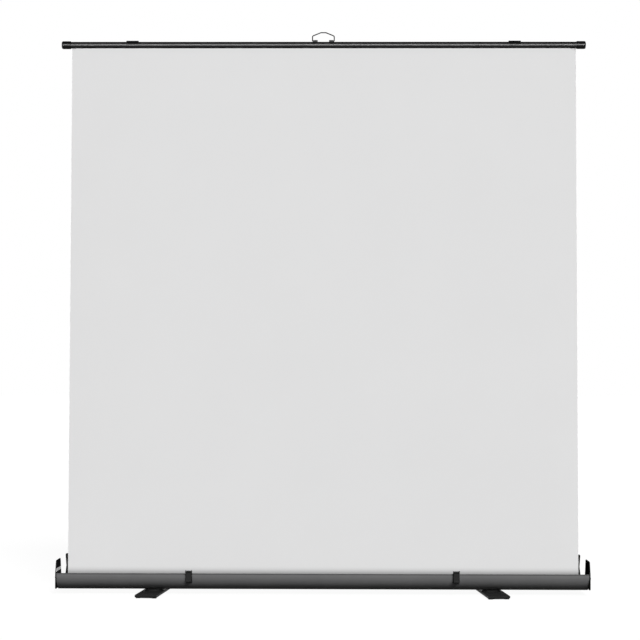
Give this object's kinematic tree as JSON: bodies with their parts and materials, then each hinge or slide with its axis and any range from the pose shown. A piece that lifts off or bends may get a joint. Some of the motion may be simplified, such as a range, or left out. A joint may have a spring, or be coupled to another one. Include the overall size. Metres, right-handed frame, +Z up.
{
  "type": "pull-up projection screen",
  "caption": "Free-standing pull-up projection screen: cloth drawn from a spring roller in a half-round floor box up to a top rail held by folding elbow arms.",
  "frame": {"origin": "floor level under the middle of the floor box", "axes": "+X to the right seen from the front, -Y the side that the screen faces, +Z up"},
  "size_m": [2.0912, 0.3458, 2.2186],
  "materials": {
    "black_anodised": "satin black anodised extrusion",
    "black_paint": "satin black paint",
    "black_casting": "black powder coat on cast aluminium",
    "black_plastic": "fine moulded texture",
    "dark_steel": "black zinc",
    "bright_steel": "bright zinc",
    "arm_aluminium": "dark grey anodised",
    "rubber": "matte",
    "screen_cloth": "matte coated screen cloth"
  },
  "bodies": {
    "base": {"base_housing": "black_anodised", "end_plate_left": "black_plastic", "end_plate_right": "black_plastic", "end_plate_screw_left_front": "dark_steel", "end_plate_screw_left_rear": "dark_steel", "end_plate_screw_right_front": "dark_steel", "end_plate_screw_right_rear": "dark_steel", "roller_bracket_left": "black_plastic", "roller_bracket_right": "black_plastic", "spring_spindle": "dark_steel", "spring_anchor": "black_plastic", "roller_spring": "bright_steel", "arm_bracket_left": "dark_steel", "arm_bracket_right": "dark_steel", "base_pivot_pin_left": "bright_steel", "base_pivot_pin_right": "bright_steel", "base_pivot_spacer": "black_plastic", "latch_plate_left": "black_paint", "latch_plate_right": "black_paint", "latch_pin_left": "dark_steel", "latch_pin_right": "dark_steel", "foot_bolt_left": "dark_steel", "foot_bolt_right": "dark_steel", "foot_nut_left": "dark_steel", "foot_nut_right": "dark_steel", "screen_fabric": "screen_cloth"},
    "roller": {"roller_tube": "arm_aluminium", "roller_idle_plug": "black_plastic", "roller_spring_plug": "black_plastic", "screen_roll": "screen_cloth"},
    "lower_arm_left": {"lower_arm_left": "arm_aluminium", "knee_pin_left": "bright_steel"},
    "lower_arm_right": {"lower_arm_right": "arm_aluminium", "knee_pin_right": "bright_steel"},
    "upper_arm_left": {"upper_arm_left": "arm_aluminium", "knee_washer_left": "black_plastic"},
    "upper_arm_right": {"upper_arm_right": "arm_aluminium", "knee_washer_right": "black_plastic"},
    "top_rail": {"top_rail": "black_anodised", "rail_end_cap_left": "black_plastic", "rail_end_cap_right": "black_plastic", "hem_bead": "black_plastic", "rail_clip_left": "black_plastic", "rail_clip_right": "black_plastic", "handle_lug_left": "black_plastic", "handle_lug_right": "black_plastic", "top_pivot_pin_left": "bright_steel", "top_pivot_pin_right": "bright_steel", "top_pivot_spacer": "black_plastic"},
    "bail_handle": {"bail_handle": "dark_steel"},
    "latch_strap_left": {"latch_strap_left": "black_paint"},
    "latch_strap_right": {"latch_strap_right": "black_paint"},
    "foot_left": {"foot_left": "black_casting", "foot_pad_left_front": "rubber", "foot_pad_left_rear": "rubber"},
    "foot_right": {"foot_right": "black_casting", "foot_pad_right_front": "rubber", "foot_pad_right_rear": "rubber"}
  },
  "joints": [
    {"name": "frame_fold", "type": "hinge", "parent": "base", "child": "lower_arm_left", "pos_m": [-0.757, -0.00095, 0.097], "axis": [0, 1, 0], "range_deg": [0, 55], "deforming": ["screen_fabric"]},
    {"name": "right_base_fold", "type": "hinge", "parent": "base", "child": "lower_arm_right", "pos_m": [0.757, 0.01905, 0.097], "axis": [0, -1, 0], "range_deg": [0, 55]},
    {"name": "left_knee", "type": "hinge", "parent": "lower_arm_left", "child": "upper_arm_left", "pos_m": [-0.03841, -0.01095, 1.132], "axis": [0, -1, 0], "range_deg": [0, 110]},
    {"name": "right_knee", "type": "hinge", "parent": "lower_arm_right", "child": "upper_arm_right", "pos_m": [0.03841, 0.00905, 1.132], "axis": [0, 1, 0], "range_deg": [0, 110]},
    {"name": "rail_level", "type": "hinge", "parent": "upper_arm_left", "child": "top_rail", "pos_m": [-0.757, -0.01095, 2.167], "axis": [0, 1, 0], "range_deg": [0, 55]},
    {"name": "roller_spin", "type": "hinge", "parent": "base", "child": "roller", "pos_m": [0, -0.018, 0.052], "axis": [1, 0, 0], "range_deg": [0, 5269]},
    {"name": "handle_swing", "type": "hinge", "parent": "top_rail", "child": "bail_handle", "pos_m": [0, -0.03845, 2.1827], "axis": [1, 0, 0], "range_deg": [-90, 90]},
    {"name": "latch_left_swing", "type": "hinge", "parent": "base", "child": "latch_strap_left", "pos_m": [-0.5215, -0.076, 0.093], "axis": [-1, 0, 0], "range_deg": [0, 222]},
    {"name": "foot_left_swivel", "type": "hinge", "parent": "base", "child": "foot_left", "pos_m": [-0.6635, 0, 0.0043], "axis": [0, 0, -1], "range_deg": [0, 84]},
    {"name": "latch_right_swing", "type": "hinge", "parent": "base", "child": "latch_strap_right", "pos_m": [0.5215, -0.076, 0.093], "axis": [-1, 0, 0], "range_deg": [0, 222]},
    {"name": "foot_right_swivel", "type": "hinge", "parent": "base", "child": "foot_right", "pos_m": [0.6635, 0, 0.0043], "axis": [0, 0, 1], "range_deg": [0, 84]}
  ],
  "couplings": [
    {"joint": "right_base_fold", "follows": "frame_fold", "ratio": 1},
    {"joint": "left_knee", "follows": "frame_fold", "ratio": 2},
    {"joint": "right_knee", "follows": "frame_fold", "ratio": 2},
    {"joint": "rail_level", "follows": "frame_fold", "ratio": 1},
    {"joint": "roller_spin", "follows": "frame_fold", "ratio": 95.8}
  ]
}
